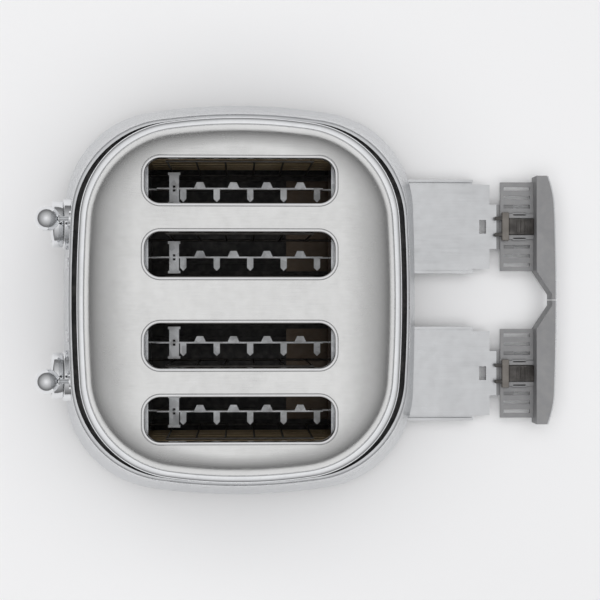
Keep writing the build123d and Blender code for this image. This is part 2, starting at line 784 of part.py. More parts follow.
# Control boards, parallel to the sloping wall, with the button switches
with BuildPart() as control_boards:
    for side in sides.values():
        board_face = wall_plane(side * lever_x, dial_height, -board_depth)
        with Locations(board_face):
            Box(board_width, board_height, board_thickness, align=(Align.CENTER, Align.CENTER, Align.MAX))
        for step in (-1, 0, 1):
            spot = wall_plane(side * button_x, dial_height + step * button_pitch).origin
            with Locations(Plane(board_face.from_local_coords((
                board_face.to_local_coords(spot).X, board_face.to_local_coords(spot).Y, 0
            )), x_dir=(1, 0, 0), z_dir=board_face.z_dir)):
                Box(switch_size, switch_size, switch_height, align=(Align.CENTER, Align.CENTER, Align.MIN))
save(control_boards.part, "control_boards")

with BuildPart() as dial_pots:
    for side in sides.values():
        with Locations(wall_plane(side * lever_x, dial_height, -board_depth)):
            Cylinder(pot_radius, pot_height, align=(Align.CENTER, Align.CENTER, Align.MIN))
            Cylinder(shaft_radius + slide_clearance, 3 * pot_height, mode=Mode.SUBTRACT)
save(dial_pots.part, "dial_pots")

with BuildPart() as dial_bezels:
    for side in sides.values():
        with Locations(wall_plane(side * lever_x, dial_height, bezel_depth)):
            Cylinder(bezel_radius, 2 * bezel_depth, align=(Align.CENTER, Align.CENTER, Align.MAX))
    fillet(dial_bezels.edges().filter_by(GeomType.CIRCLE).group_by(Axis.Y)[0], bezel_depth / 5)
    for side in sides.values():
        with Locations(wall_plane(side * lever_x, dial_height)):
            Cylinder(2 * shaft_radius, 6 * bezel_depth, mode=Mode.SUBTRACT)
    add(skin_inner, mode=Mode.SUBTRACT)
save(dial_bezels.part, "dial_bezels")

# Dials and buttons
for side_name, side in sides.items():
    with BuildPart() as dial:
        with Locations(wall_plane(side * lever_x, dial_height, bezel_depth + fit_gap)):
            Cylinder(dial_radius, dial_length, align=(Align.CENTER, Align.CENTER, Align.MIN))
        chamfer(dial.edges().group_by(Axis.Y)[0], dial_length / 6)
        with Locations(wall_plane(side * lever_x, dial_height, bezel_depth + fit_gap + dial_length)):
            with Locations((dial_radius * 0.75, 0)):
                Cylinder(dial_length / 9, dial_length / 9, mode=Mode.SUBTRACT)
        with Locations(wall_plane(side * lever_x, dial_height, bezel_depth + fit_gap)):
            Cylinder(shaft_radius, bezel_depth + board_depth - fit_gap,
                     align=(Align.CENTER, Align.CENTER, Align.MAX))
    save(dial.part, f"dial_{side_name}")
    for place, step in {"lower": -1, "middle": 0, "upper": 1}.items():
        with BuildPart() as button:
            with Locations(wall_plane(side * button_x, dial_height + step * button_pitch, button_stand)):
                Cylinder(button_radius, button_stand + 4 * shell_wall,
                         align=(Align.CENTER, Align.CENTER, Align.MAX))
            fillet(button.edges().group_by(Axis.Y)[0], button_stand / 2)
            with Locations(wall_plane(side * button_x, dial_height + step * button_pitch)):
                with Locations((0, 0, -2 * shell_wall)):
                    Cylinder(button_radius + 3 * fit_gap, shell_wall,
                             align=(Align.CENTER, Align.CENTER, Align.MAX))
                Cylinder(button_stem, board_depth - switch_height - button_travel - 2 * fit_gap,
                         align=(Align.CENTER, Align.CENTER, Align.MAX))
        save(button.part, f"button_{side_name}_{place}")

# Crumb trays: folded steel pans, built closed and drawn out by the pull
tray_front = -bulkhead_y - flange
drawn_out = Pos(0, tray_pull, 0)
panel_front = base_outline[0] - fascia_depth - grille_reach
panel_rear = base_outline[0] - fascia_depth
with BuildPart() as tray:
    with BuildSketch(Plane.XZ.offset(-tray_front)):
        with BuildLine():
            Polyline(
                (tray_x - rail_outside, tray_z + tray_rail_height), (tray_x - rail_outside, tray_z),
                (tray_x + rail_outside, tray_z), (tray_x + rail_outside, tray_z + tray_rail_height),
                (tray_x + rail_outside - tray_rail, tray_z + tray_rail_height),
                (tray_x + rail_outside - tray_rail, tray_z + tray_rail_height - tray_sheet),
                (tray_x + rail_outside - tray_sheet, tray_z + tray_rail_height - tray_sheet),
                (tray_x + rail_outside - tray_sheet, tray_z + tray_sheet),
                (tray_x - rail_outside + tray_sheet, tray_z + tray_sheet),
                (tray_x - rail_outside + tray_sheet, tray_z + tray_rail_height - tray_sheet),
                (tray_x - rail_outside + tray_rail, tray_z + tray_rail_height - tray_sheet),
                (tray_x - rail_outside + tray_rail, tray_z + tray_rail_height), close=True,
            )
        make_face()
    extrude(amount=tray_front - panel_front + tray_step)
    # Rear end stepped, with a lanced hole for the latch
    with BuildSketch(Plane.XY.offset(tray_z - tray_sheet)):
        with Locations((tray_x, panel_front - tray_step)):
            with GridLocations(2 * rail_outside, 0, 2, 1):
                Rectangle(2 * (rail_outside - tray_width / 4), 4 * tray_step)
        with Locations((tray_x, panel_front - 4 * tray_step)):
            with GridLocations(2 * rail_outside, 0, 2, 1):
                Rectangle(4 * tray_rail, 8 * tray_step)
    extrude(amount=3 * tray_rail_height, mode=Mode.SUBTRACT)
    with BuildSketch(Plane.XY.offset(tray_z - tray_sheet)):
        with Locations((tray_x, panel_front - 5 * tray_step)):
            Rectangle(latch_width - 2 * sheet, 2 * tray_step)
    extrude(amount=3 * tray_sheet, mode=Mode.SUBTRACT)

# Tray fronts: cut from the closed plinth's own shape, hollow underneath, with a grille panel
x_in = fascia_gap / 2
x_out = x_in + fascia_length
y_out = 2 * base_outline[0]
nose_y = base_outline[0] - 2 * fascia_wall
panel_top = tray_z + panel_thickness
with BuildSketch(Plane.XY.offset(fascia_bottom)) as fascia_plan:
    with BuildLine():
        Polyline(
            (x_in, y_out), (x_in, nose_y), (x_in + 2 * fascia_wall, nose_y),
            (tray_x - tray_width / 2, panel_rear), (x_out, panel_rear), (x_out, y_out), close=True,
        )
    make_face()
with BuildPart() as fascia_hollow:
    with BuildSketch(Plane.XY.offset(fascia_bottom)):
        add(fascia_plan.sketch)
        offset(amount=-fascia_wall, kind=Kind.INTERSECTION)
    extrude(amount=fascia_height - fascia_wall)
    add(pan_block(skin + fascia_wall), mode=Mode.INTERSECT)
with BuildPart() as fascia:
    add(fascia_plan.sketch)
    extrude(amount=fascia_height)
    add(pan_block(skin + slide_clearance), mode=Mode.INTERSECT)
    add(fascia_hollow.part, mode=Mode.SUBTRACT)
    with BuildSketch(Plane.XY.offset(tray_z)):
        with Locations((tray_x, panel_front)):
            Rectangle(tray_width, grille_reach + fascia_wall / 2, align=(Align.CENTER, Align.MIN))
        for side in sides.values():
            for step in range(panel_slot_count):
                with Locations((
                    tray_x + side * (panel_slot_first + step * panel_slot_pitch),
                    (panel_front + panel_rear) / 2,
                )):
                    Rectangle(panel_slot_width, panel_slot_length, mode=Mode.SUBTRACT)
    extrude(amount=panel_thickness)
    with BuildSketch(Plane.XY.offset(tray_z - panel_tongue)):
        with Locations((tray_x, panel_front)):
            Rectangle(tray_width / 2, 8 * tray_step)
    extrude(amount=panel_tongue)
with BuildPart() as tray_skin:
    add(fascia_plan.sketch)
    extrude(amount=fascia_height)
    add(pan_block(), mode=Mode.INTERSECT)
    add(pan_block(skin), mode=Mode.SUBTRACT)

# Tray latch: a sprung catch on the grille panel, with side arms and two prongs
with BuildPart() as latch:
    with BuildSketch(Plane.XY.offset(panel_top)):
        with Locations((tray_x, panel_rear - latch_length / 2)):
            Rectangle(latch_width + 2 * latch_arm - 2 * sheet, latch_length)
            RectangleRounded(latch_width + 2 * latch_arm, latch_length / 2, latch_arm / 2)
    extrude(amount=latch_arm_height)
    with BuildSketch(Plane.XY.offset(panel_top)):
        with Locations((tray_x, panel_rear - latch_length / 2)):
            Rectangle(latch_width, latch_length)
        with Locations((tray_x, panel_rear - latch_length)):
            Rectangle(latch_width + 2 * latch_arm, 2 * tray_step)
            with GridLocations(latch_width / 2, 0, 2, 1):
                Rectangle(tray_step, 4 * tray_step, align=(Align.CENTER, Align.MAX))
    extrude(amount=latch_height)
    chamfer(latch.faces().sort_by(Axis.Z)[-1].edges(), sheet)
for name, piece in {
    "crumb_tray": tray, "tray_fascia": fascia, "tray_skin": tray_skin, "tray_latch": latch,
}.items():
    save(drawn_out * piece.part, f"{name}_right")
    save(drawn_out * mirror(piece.part, about=Plane.YZ), f"{name}_left")

# Cord gland: flanged bush in the pan's floor
with BuildPart() as cord_gland:
    with Locations((0, gland_y, pan_bottom)):
        Cylinder(gland_radius + 2 * sheet, sheet, align=(Align.CENTER, Align.CENTER, Align.MAX))
        Cylinder(gland_radius - slide_clearance, pan_floor + 2 * sheet,
                 align=(Align.CENTER, Align.CENTER, Align.MIN))
        Cylinder(cord_radius, 4 * pan_height, mode=Mode.SUBTRACT)
save(cord_gland.part, "cord_gland")
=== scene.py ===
import bpy
import bmesh
import json
import math
from mathutils import Matrix, Vector


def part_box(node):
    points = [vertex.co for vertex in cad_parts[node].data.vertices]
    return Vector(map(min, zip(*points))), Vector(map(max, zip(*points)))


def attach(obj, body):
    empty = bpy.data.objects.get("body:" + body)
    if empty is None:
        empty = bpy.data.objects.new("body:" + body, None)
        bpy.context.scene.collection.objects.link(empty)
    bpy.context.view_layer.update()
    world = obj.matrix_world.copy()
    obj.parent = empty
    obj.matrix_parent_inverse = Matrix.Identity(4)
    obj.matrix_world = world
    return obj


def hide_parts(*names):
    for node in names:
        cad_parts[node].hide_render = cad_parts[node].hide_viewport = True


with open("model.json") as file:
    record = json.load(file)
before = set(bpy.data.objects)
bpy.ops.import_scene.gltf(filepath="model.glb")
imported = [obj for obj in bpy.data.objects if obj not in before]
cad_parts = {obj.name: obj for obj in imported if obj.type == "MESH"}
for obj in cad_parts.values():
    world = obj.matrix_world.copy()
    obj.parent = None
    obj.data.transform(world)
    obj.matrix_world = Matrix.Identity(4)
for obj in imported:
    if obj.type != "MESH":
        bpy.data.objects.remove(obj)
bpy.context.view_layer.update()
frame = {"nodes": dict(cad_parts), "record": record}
mm = 0.001
sides = {"left": -1, "right": 1}
print("frame loaded")


# A new node, with some of its properties set
def place(tree, kind, **values):
    node = tree.nodes.new(kind)
    for key, value in values.items():
        setattr(node, key, value)
    return node


# Links an output to an input
def join(tree, source, target):
    tree.links.new(source, target)


# Gives an input another node's output or a plain value
def feed(tree, node, socket, value):
    if isinstance(value, bpy.types.NodeSocket):
        join(tree, value, node.inputs[socket])
    else:
        node.inputs[socket].default_value = value


# Arithmetic on two numbers
def calculate(tree, operation, a, b, clamp=False):
    node = place(tree, "ShaderNodeMath", operation=operation, use_clamp=clamp)
    feed(tree, node, 0, a)
    feed(tree, node, 1, b)
    return node.outputs[0]


# Where a mix node keeps its two colours and its result
mixSockets = dict(first=6, second=7, result=2)


# A share of the second colour laid over the first
def blendColours(tree, share, first, second):
    node = place(tree, "ShaderNodeMix", data_type="RGBA")
    feed(tree, node, "Factor", share)
    for key, colour in (("first", first), ("second", second)):
        feed(tree, node, mixSockets[key],
             colour if isinstance(colour, bpy.types.NodeSocket) else (*colour, 1))
    return node.outputs[mixSockets["result"]]


# Maps a number from one range to another
def rescale(tree, value, low, high, toLow, toHigh):
    node = place(tree, "ShaderNodeMapRange")
    feed(tree, node, "Value", value)
    for socket, number in (("From Min", low), ("From Max", high), ("To Min", toLow), ("To Max", toHigh)):
        feed(tree, node, socket, number)
    return node.outputs[0]


# A node group with its inputs and outputs, still empty
def effectGroup(name, inputs, outputs):
    group = bpy.data.node_groups.new(name, "ShaderNodeTree")
    for label, kind, value in inputs:
        socket = group.interface.new_socket(label, in_out="INPUT", socket_type=kind)
        if value is not None:
            socket.default_value = value
    for label, kind in outputs:
        group.interface.new_socket(label, in_out="OUTPUT", socket_type=kind)
    entry = group.nodes.new("NodeGroupInput")
    leave = group.nodes.new("NodeGroupOutput")
    return group, entry, leave


# Places a node group and feeds its inputs
def useGroup(tree, group, **values):
    node = place(tree, "ShaderNodeGroup", node_tree=group)
    for key, value in values.items():
        feed(tree, node, key, value)
    return node


vectorKind, numberKind = "NodeSocketVector", "NodeSocketFloat"

# Strokes of a brush or a rolling mill, drawn out along the axis with the smallest stretch
strokeGrain, entry, leave = effectGroup(
    "strokeGrain",
    [("Vector", vectorKind, None), ("Stretch", vectorKind, None), ("Scale", numberKind, 900.0)],
    [("Height", numberKind), ("Tone", numberKind)],
)
drawn = place(strokeGrain, "ShaderNodeVectorMath", operation="MULTIPLY")
join(strokeGrain, entry.outputs["Vector"], drawn.inputs[0])
join(strokeGrain, entry.outputs["Stretch"], drawn.inputs[1])
strokes = place(strokeGrain, "ShaderNodeTexNoise")
strokes.inputs["Detail"].default_value = 4
strokes.inputs["Roughness"].default_value = 0.62
join(strokeGrain, drawn.outputs[0], strokes.inputs["Vector"])
join(strokeGrain, entry.outputs["Scale"], strokes.inputs["Scale"])
join(strokeGrain, strokes.outputs[0], leave.inputs["Height"])
join(strokeGrain, rescale(strokeGrain, strokes.outputs[0], 0.3, 0.7, 0.0, 1.0), leave.inputs["Tone"])

# Handling marks: broad soft patches with finer ones inside
handling, entry, leave = effectGroup(
    "handling",
    [("Vector", vectorKind, None), ("Scale", numberKind, 18.0), ("Warp", numberKind, 1.2)],
    [("Mask", numberKind)],
)
patches = place(handling, "ShaderNodeTexNoise")
patches.inputs["Detail"].default_value = 5
join(handling, entry.outputs["Vector"], patches.inputs["Vector"])
join(handling, entry.outputs["Scale"], patches.inputs["Scale"])
join(handling, entry.outputs["Warp"], patches.inputs["Distortion"])
join(handling, rescale(handling, patches.outputs[0], 0.35, 0.68, 0.0, 1.0), leave.inputs["Mask"])

# Specks: small round flecks of another tone
specks, entry, leave = effectGroup(
    "specks",
    [("Vector", vectorKind, None), ("Scale", numberKind, 400.0), ("Size", numberKind, 0.2)],
    [("Mask", numberKind)],
)
cells = place(specks, "ShaderNodeTexVoronoi")
join(specks, entry.outputs["Vector"], cells.inputs["Vector"])
join(specks, entry.outputs["Scale"], cells.inputs["Scale"])
near = calculate(specks, "LESS_THAN", cells.outputs["Distance"], entry.outputs["Size"])
join(specks, near, leave.inputs["Mask"])

# Zinc crystals: flat angular patches, each of its own tone
spangle, entry, leave = effectGroup(
    "spangle",
    [("Vector", vectorKind, None), ("Scale", numberKind, 260.0)],
    [("Tone", numberKind), ("Height", numberKind)],
)
crystals = place(spangle, "ShaderNodeTexVoronoi")
join(spangle, entry.outputs["Vector"], crystals.inputs["Vector"])
join(spangle, entry.outputs["Scale"], crystals.inputs["Scale"])
parts = place(spangle, "ShaderNodeSeparateColor")
join(spangle, crystals.outputs["Color"], parts.inputs[0])
join(spangle, parts.outputs[0], leave.inputs["Tone"])
join(spangle, crystals.outputs["Distance"], leave.inputs["Height"])

# Worn edges: where a rounded normal departs from the flat one
wornEdge, entry, leave = effectGroup(
    "wornEdge",
    [("Radius", numberKind, 0.0008), ("Breakup", numberKind, 0.5)],
    [("Mask", numberKind)],
)
rounded = place(wornEdge, "ShaderNodeBevel", samples=4)
join(wornEdge, entry.outputs["Radius"], rounded.inputs["Radius"])
surface = place(wornEdge, "ShaderNodeNewGeometry")
alike = place(wornEdge, "ShaderNodeVectorMath", operation="DOT_PRODUCT")
join(wornEdge, rounded.outputs[0], alike.inputs[0])
join(wornEdge, surface.outputs["Normal"], alike.inputs[1])
join(
    wornEdge,
    calculate(wornEdge, "MULTIPLY", rescale(wornEdge, alike.outputs["Value"], 0.97, 0.75, 0.0, 1.0),
         entry.outputs["Breakup"], True),
    leave.inputs["Mask"],
)

# Dust: settles on what faces up
dust, entry, leave = effectGroup(
    "dust",
    [("Vector", vectorKind, None), ("Amount", numberKind, 0.1)],
    [("Mask", numberKind)],
)
surface = place(dust, "ShaderNodeNewGeometry")
split = place(dust, "ShaderNodeSeparateXYZ")
join(dust, surface.outputs["Normal"], split.inputs[0])
up = rescale(dust, split.outputs["Z"], 0.3, 1.0, 0.0, 1.0)
grit = place(dust, "ShaderNodeTexNoise")
grit.inputs["Scale"].default_value = 140
grit.inputs["Detail"].default_value = 6
join(dust, entry.outputs["Vector"], grit.inputs["Vector"])
settled = calculate(dust, "MULTIPLY", up, rescale(dust, grit.outputs[0], 0.4, 0.7, 0.0, 1.0))
join(dust, calculate(dust, "MULTIPLY", settled, entry.outputs["Amount"], True), leave.inputs["Mask"])

# What each finish is: two tones, metal or not, roughness from clean to handled, grain and its depth.
# Painted shade darkens a finish towards the heaters inside the toaster, from an open place to a shaded one
# along Y, in a browned tone.
looks = {
    "lidSteel": dict(tone=(0.80, 0.80, 0.79), deep=(0.70, 0.70, 0.69), metal=1.0, rough=(0.17, 0.27),
                     grain=1400, stretch=(1.0, 0.03, 1.0), depth=0.00002, marks=14, dust=0.05),
    "lipSteel": dict(tone=(0.84, 0.84, 0.84), deep=(0.76, 0.76, 0.77), metal=1.0, rough=(0.12, 0.2),
                     grain=900, stretch=(1, 1, 1), depth=0.00001, marks=40, dust=0.05),
    "skirtSteel": dict(tone=(0.72, 0.73, 0.74), deep=(0.62, 0.63, 0.65), metal=1.0, rough=(0.24, 0.36),
                       grain=1600, stretch=(0.04, 0.04, 1.0), depth=0.00003, marks=10, dust=0.05),
    "brightChrome": dict(tone=(0.86, 0.87, 0.88), deep=(0.74, 0.75, 0.77), metal=1.0, rough=(0.04, 0.13),
                         grain=500, stretch=(1, 1, 1), depth=0.000005, marks=35, dust=0.05),
    # The crumb trays' steel carries painted shade that darkens it inside the toaster
    "traySteel": dict(tone=(0.74, 0.75, 0.76), deep=(0.67, 0.68, 0.69), metal=1.0, rough=(0.27, 0.36),
                      grain=1500, stretch=(1.0, 0.02, 1.0), depth=0.00004, marks=16, dust=0.05,
                      insideShade=(0.145, 0.085, (0.11, 0.085, 0.065))),
    "zincSheet": dict(tone=(0.55, 0.56, 0.57), deep=(0.38, 0.40, 0.42), metal=0.85, rough=(0.32, 0.50),
                      grain=700, stretch=(1, 1, 1), depth=0.00003, marks=30, dust=0.1, spangle=220),
    "sootedWire": dict(tone=(0.10, 0.095, 0.09), deep=(0.035, 0.033, 0.032), metal=0.8, rough=(0.38, 0.6),
                       grain=900, stretch=(1, 1, 0.1), depth=0.00003, marks=60, dust=0.1),
    "panPlastic": dict(tone=(0.030, 0.030, 0.032), deep=(0.018, 0.018, 0.019), metal=0.0,
                       rough=(0.42, 0.58), grain=2600, stretch=(1, 1, 1), depth=0.00005, marks=20,
                       dust=0.15, edge=(0.09, 0.09, 0.095)),
    "trayPlastic": dict(tone=(0.26, 0.26, 0.265), deep=(0.20, 0.20, 0.205), metal=0.0, rough=(0.45, 0.6),
                        grain=2600, stretch=(1, 1, 1), depth=0.00005, marks=22, dust=0.12,
                        edge=(0.38, 0.38, 0.385)),
    "blackPlastic": dict(tone=(0.035, 0.031, 0.028), deep=(0.018, 0.016, 0.015), metal=0.0,
                         rough=(0.35, 0.5), grain=2200, stretch=(1, 1, 1), depth=0.00004, marks=40,
                         dust=0.12, edge=(0.10, 0.09, 0.085)),
    "catchPlastic": dict(tone=(0.16, 0.145, 0.13), deep=(0.11, 0.10, 0.09), metal=0.0, rough=(0.4, 0.55),
                         grain=2200, stretch=(1, 1, 1), depth=0.00004, marks=40, dust=0.12,
                         edge=(0.26, 0.24, 0.22)),
    "footRubber": dict(tone=(0.030, 0.030, 0.030), deep=(0.020, 0.020, 0.020), metal=0.0,
                       rough=(0.7, 0.88), grain=3000, stretch=(1, 1, 1), depth=0.00006, marks=60, dust=0.2),
    "micaCard": dict(tone=(0.42, 0.33, 0.20), deep=(0.24, 0.17, 0.09), metal=0.0, rough=(0.3, 0.5),
                     grain=300, stretch=(1, 1, 1), depth=0.00003, marks=25, dust=0.05,
                     flecks=(900, 0.25, (0.62, 0.55, 0.42))),
    "boardGreen": dict(tone=(0.020, 0.11, 0.05), deep=(0.012, 0.07, 0.032), metal=0.0, rough=(0.22, 0.35),
                       grain=4000, stretch=(1, 0.1, 1), depth=0.00002, marks=50, dust=0.08,
                       flecks=(260, 0.16, (0.55, 0.56, 0.52))),
}

# How strongly each effect shows in a finish
blend = dict(marks=0.45, grain=0.3, crystals=0.45, crystalGlow=1.5, crystalRelief=0.6, flecks=0.7,
             wearRadius=0.0006, roughSpan=0.8, bumpStrength=0.5, bumpGain=4, dustTone=(0.5, 0.48, 0.45))


# A procedural material from the tones and effects of one look
def makeFinish(name, look):
    material = bpy.data.materials.new(name)
    material.use_nodes = True
    tree = material.node_tree
    shader = tree.nodes["Principled BSDF"]
    spot = place(tree, "ShaderNodeTexCoord").outputs["Object"]
    marks = useGroup(tree, handling, Vector=spot, Scale=look["marks"]).outputs["Mask"]
    grain = useGroup(tree, strokeGrain, Vector=spot, Stretch=look["stretch"], Scale=look["grain"])
    handled = calculate(tree, "MULTIPLY", marks, blend["marks"])
    colour = blendColours(tree, handled, look["tone"], look["deep"])
    stroked = calculate(tree, "MULTIPLY", grain.outputs["Tone"], blend["grain"])
    colour = blendColours(tree, stroked, colour, look["deep"])
    height = grain.outputs["Height"]
    if "spangle" in look:
        crystal = useGroup(tree, spangle, Vector=spot, Scale=look["spangle"])
        shown = calculate(tree, "MULTIPLY", crystal.outputs["Tone"], blend["crystals"])
        colour = blendColours(tree, shown, colour,
                              tuple(min(1, part * blend["crystalGlow"]) for part in look["tone"]))
        relief = calculate(tree, "MULTIPLY", crystal.outputs["Height"], blend["crystalRelief"])
        height = calculate(tree, "ADD", height, relief)
    if "flecks" in look:
        scale, size, fleckTone = look["flecks"]
        fleck = useGroup(tree, specks, Vector=spot, Scale=scale, Size=size)
        shown = calculate(tree, "MULTIPLY", fleck.outputs["Mask"], blend["flecks"])
        colour = blendColours(tree, shown, colour, fleckTone)
    if "edge" in look:
        edge = useGroup(tree, wornEdge, Radius=blend["wearRadius"], Breakup=marks)
        colour = blendColours(tree, edge.outputs["Mask"], colour, look["edge"])
    # Painted shade: darker the further a place lies inside the toaster along Y, blending to a browned dark
    # tone
    if "insideShade" in look:
        openY, shadedY, insideShadeTone = look["insideShade"]
        axes = place(tree, "ShaderNodeSeparateXYZ")
        join(tree, spot, axes.inputs[0])
        shadeShare = rescale(tree, axes.outputs["Y"], openY, shadedY, 0.0, 1.0)
        colour = blendColours(tree, shadeShare, colour, insideShadeTone)
    film = useGroup(tree, dust, Vector=spot, Amount=look["dust"]).outputs["Mask"]
    join(tree, blendColours(tree, film, colour, blend["dustTone"]), shader.inputs["Base Color"])
    touched = calculate(tree, "MULTIPLY", marks, grain.outputs["Tone"])
    rough = rescale(tree, touched, 0.0, blend["roughSpan"], *look["rough"])
    join(tree, calculate(tree, "ADD", rough, film, True), shader.inputs["Roughness"])
    shader.inputs["Metallic"].default_value = look["metal"]
    bump = place(tree, "ShaderNodeBump")
    bump.inputs["Strength"].default_value = blend["bumpStrength"]
    bump.inputs["Distance"].default_value = look["depth"] * blend["bumpGain"]
    join(tree, height, bump.inputs["Height"])
    join(tree, bump.outputs[0], shader.inputs["Normal"])
    return material


finishes = {name: makeFinish(name, look) for name, look in looks.items()}
print("finishes made:", len(finishes))

# The frame's own nodes, each with its finish
carried = {
    "skirtSteel": ["body_shell", "tray_skin_"],
    "brightChrome": ["lever_slot_frames", "dial_bezels", "guide_rods", "button_"],
    "zincSheet": ["guide_plate", "front_bulkhead", "rear_bulkhead", "reflectors", "base_screws",
                  "bread_carrier_", "carriage_", "return_spring_"],
    "sootedWire": ["bread_guide_"],
    "panPlastic": ["base_pan", "rim_carrier", "latch_magnets"],
    "trayPlastic": ["tray_fascia_", "dial_pots"],
    "blackPlastic": ["cord_gland"],
    "footRubber": ["feet"],
    "micaCard": ["heater_"],
    "boardGreen": ["control_boards"],
    "traySteel": ["crumb_tray_"],
}
for finishName, starts in carried.items():
    for nodeName, node in frame["nodes"].items():
        if nodeName.startswith(tuple(starts)):
            for index in range(len(node.data.materials)):
                node.data.materials[index] = finishes[finishName]


# Smooth shading with hard lines where faces meet at more than an angle in degrees
def shadeSmooth(mesh, sharp):
    mesh.polygons.foreach_set("use_smooth", [True] * len(mesh.polygons))
    mesh.set_sharp_from_angle(angle=math.radians(sharp))


# Turns a shape into a mesh object of its own
def asObject(name, shape):
    bmesh.ops.remove_doubles(shape, verts=shape.verts, dist=1e-6)
    bmesh.ops.recalc_face_normals(shape, faces=shape.faces)
    mesh = bpy.data.meshes.new(name)
    shape.to_mesh(mesh)
    shape.free()
    piece = bpy.data.objects.new(name, mesh)
    bpy.context.scene.collection.objects.link(piece)
    return piece


# Turns a shape into a finished piece that rides on a body
def addPiece(name, shape, body, finishName, sharp=40):
    piece = asObject(name, shape)
    shadeSmooth(piece.data, sharp)
    piece.data.materials.append(finishes[finishName])
    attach(piece, body)
    return piece


# Joins places in order into a closed loop of edges
def closedLoop(shape, places):
    verts = [shape.verts.new(spot) for spot in places]
    return [shape.edges.new(pair) for pair in zip(verts, verts[1:] + verts[:1])]


# Distance from the middle to a bowed rectangle's edge, along a direction in the plan
def reach(direction, shape, inset):
    halfDepth, halfWidth, endBow, sideBow, corner = shape
    x = halfWidth - sideBow
    y = halfDepth - endBow
    endRadius = (x ** 2 + endBow ** 2) / (2 * endBow)
    sideRadius = (y ** 2 + sideBow ** 2) / (2 * sideBow)
    endCentre = Vector((0, halfDepth - endRadius))
    sideCentre = Vector((halfWidth - sideRadius, 0))
    gap = sideCentre - endCentre
    along = (gap.length_squared + (endRadius - corner) ** 2 - (sideRadius - corner) ** 2) / (2 * gap.length)
    across = math.sqrt((endRadius - corner) ** 2 - along ** 2)
    unit = gap.normalized()
    cornerCentre = endCentre + unit * along + Vector((unit.y, -unit.x)) * across
    toEnd = cornerCentre + (cornerCentre - endCentre).normalized() * corner
    toSide = cornerCentre + (cornerCentre - sideCentre).normalized() * corner
    aim = Vector((abs(direction.x), abs(direction.y)))
    turn = math.atan2(aim.y, aim.x)
    if turn > math.atan2(toEnd.y, toEnd.x):
        centre, radius = endCentre, endRadius
    elif turn < math.atan2(toSide.y, toSide.x):
        centre, radius = sideCentre, sideRadius
    else:
        centre, radius = cornerCentre, corner
    radius -= inset
    forward = aim.dot(centre)
    return forward + math.sqrt(forward ** 2 - centre.length_squared + radius ** 2)


# A closed loop of edges on a bowed rectangle, in millimetres
def bowedLoop(shape, outline, inset, height, segments=288):
    places = []
    for step in range(segments):
        turn = math.tau * step / segments
        direction = Vector((math.cos(turn), math.sin(turn)))
        spread = direction * reach(direction, outline, inset) * mm
        places.append((spread.x, spread.y, height * mm))
    return closedLoop(shape, places)


# Joins each closed loop to the next, corner to corner
def bridge(shape, loops, closed=False):
    for first, second in zip(loops, loops[1:] + (loops[:1] if closed else [])):
        for near, far in zip(first, second):
            shape.faces.new((near.verts[0], near.verts[1], far.verts[1], far.verts[0]))


# Lid: domed sheet with four slots
lidSize = dict(halfDepth=114.45, halfWidth=129.35, endBow=7.0, sideBow=16.0, corner=72.0, cornerShare=0.75,
               endRound=40.0, sideRound=18.0, base=169.0, skirt=12.0, crown=19.0, sheet=1.2, steps=20,
               halvings=24, cavityFoot=165.0, sharp=50)
slotSize = dict(places=(-86.2, -33.0, 33.0, 86.2), width=32.5, length=137.5, corner=11.5, steps=12,
                punchGrow=1.0, punchLow=-20.0, punchHigh=10.0)
# The lip rolls over a tube's half turn and comes down inside the slot as a flange
lipSize = dict(width=2.6, foot=-0.1, roll=1.15, rise=0.8, shoulder=0.3, steps=10, flange=8.0, sheet=0.9,
               under=-0.6, sharp=60)
lidTop = lidSize["base"] + lidSize["skirt"] + lidSize["crown"]


# The lid's outline where its dome has turned in by a share of its rounding
def lidOutline(roundness):
    return (lidSize["halfDepth"] - lidSize["endRound"] * roundness,
            lidSize["halfWidth"] - lidSize["sideRound"] * roundness, lidSize["endBow"], lidSize["sideBow"],
            lidSize["corner"]
            - lidSize["cornerShare"] * (lidSize["endRound"] + lidSize["sideRound"]) * roundness)


# How far the dome lies below its flat top at a place in the plan, in millimetres
def domeDrop(x, y):
    spot = Vector((x, y))
    if spot.length <= reach(spot.normalized(), lidOutline(1), 0):
        return 0.0
    low, high = 0.0, 1.0
    for _ in range(lidSize["halvings"]):
        middle = (low + high) / 2
        if spot.length > reach(spot.normalized(), lidOutline(middle), 0):
            high = middle
        else:
            low = middle
    return lidSize["crown"] * (1 - math.sqrt(1 - (1 - low) ** 2))


# A closed loop round a bread slot, at a rise over the dome or over its flat top
def slotLoop(shape, x, grow, rise, follow=True):
    corner = slotSize["corner"] + grow
    perCorner = slotSize["steps"] + 1
    places = []
    for step in range(4 * perCorner):
        quarter = step // perCorner
        turn = math.pi / 2 * (quarter + step % perCorner / slotSize["steps"])
        sideX = 1 if quarter in (0, 3) else -1
        sideY = 1 if quarter < 2 else -1
        across = sideX * (slotSize["width"] / 2 - slotSize["corner"]) + corner * math.cos(turn)
        along = sideY * (slotSize["length"] / 2 - slotSize["corner"]) + corner * math.sin(turn)
        drop = domeDrop(x + across, along) if follow else 0.0
        places.append(((x + across) * mm, along * mm, (lidTop + rise - drop) * mm))
    return closedLoop(shape, places)


# A solid under the dome's surface, taken in by an inset, from a foot height up
def lidBlock(inset, foot):
    shape = bmesh.new()
    loops = [bowedLoop(shape, lidOutline(0), inset, foot)]
    for step in range(lidSize["steps"] + 1):
        turn = math.pi / 2 * step / lidSize["steps"]
        height = lidSize["base"] + lidSize["skirt"] + (lidSize["crown"] - inset) * math.sin(turn)
        loops.append(bowedLoop(shape, lidOutline(1 - math.cos(turn)), inset, height))
    bridge(shape, loops)
    for end in (loops[0], loops[-1]):
        bmesh.ops.triangle_fill(shape, edges=end, use_beauty=True)
    return shape


